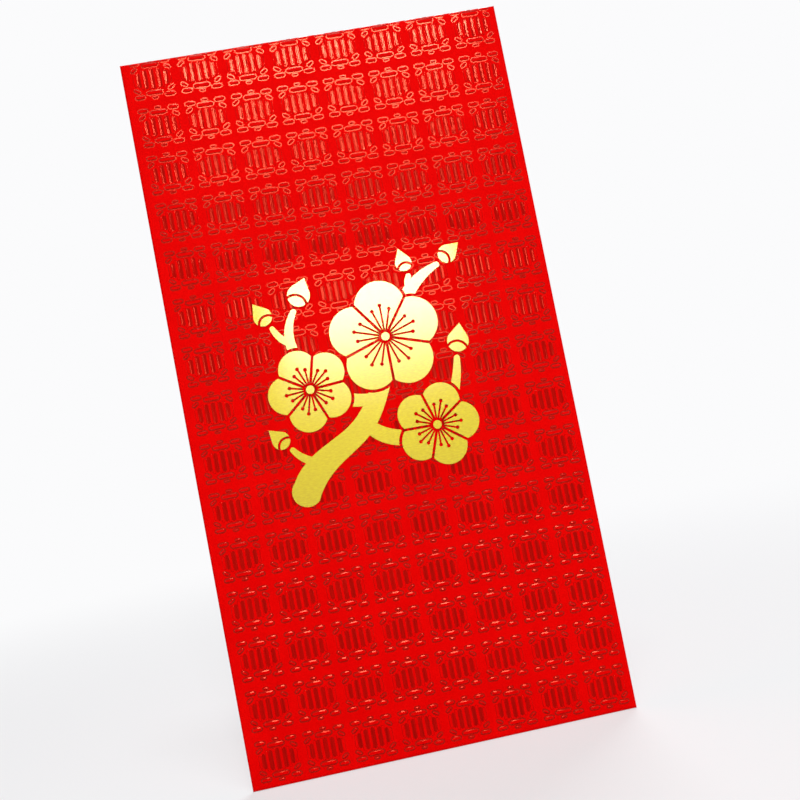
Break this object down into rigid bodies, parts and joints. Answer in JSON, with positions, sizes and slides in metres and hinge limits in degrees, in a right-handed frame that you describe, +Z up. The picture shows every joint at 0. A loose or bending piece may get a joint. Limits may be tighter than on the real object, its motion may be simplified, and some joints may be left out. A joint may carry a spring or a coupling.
{
  "type": "red envelope",
  "caption": "Flat red card gift envelope with an embossed front, a gold foil blossom sprig, glued side and bottom seams and a closing flap hinged on its top crease.",
  "frame": {"origin": "middle of the bottom edge, half way through the folded thickness", "axes": "+X to the right as the front is seen, +Y from the front through to the back, +Z up the artwork to the flap's crease"},
  "size_m": [0.09, 0.0018, 0.17],
  "materials": {
    "red_card": "matt red printed card, blind embossed on the front with glossy pressed lines",
    "gold_foil": "hot-stamped gold foil, satin with fine grain",
    "seam_glue": "dried dispersion glue, translucent cream"
  },
  "bodies": {
    "pocket": {"front_panel": "red_card", "left_side_fold": "red_card", "right_side_fold": "red_card", "bottom_fold": "red_card", "flap_crease": "red_card", "back_panel": "red_card", "side_tab": "red_card", "side_seam_glue": "seam_glue", "bottom_flap": "red_card", "bottom_seam_glue": "seam_glue", "foil_blossoms": "gold_foil", "foil_buds": "gold_foil", "foil_branch": "gold_foil"},
    "flap": {"closing_flap": "red_card"}
  },
  "joints": [
    {"name": "flap_hinge", "type": "hinge", "parent": "pocket", "child": "flap", "pos_m": [0, 0.00003, 0.16915], "axis": [1, 0, 0], "range_deg": [0, 175], "deforming": ["flap_crease"]}
  ]
}
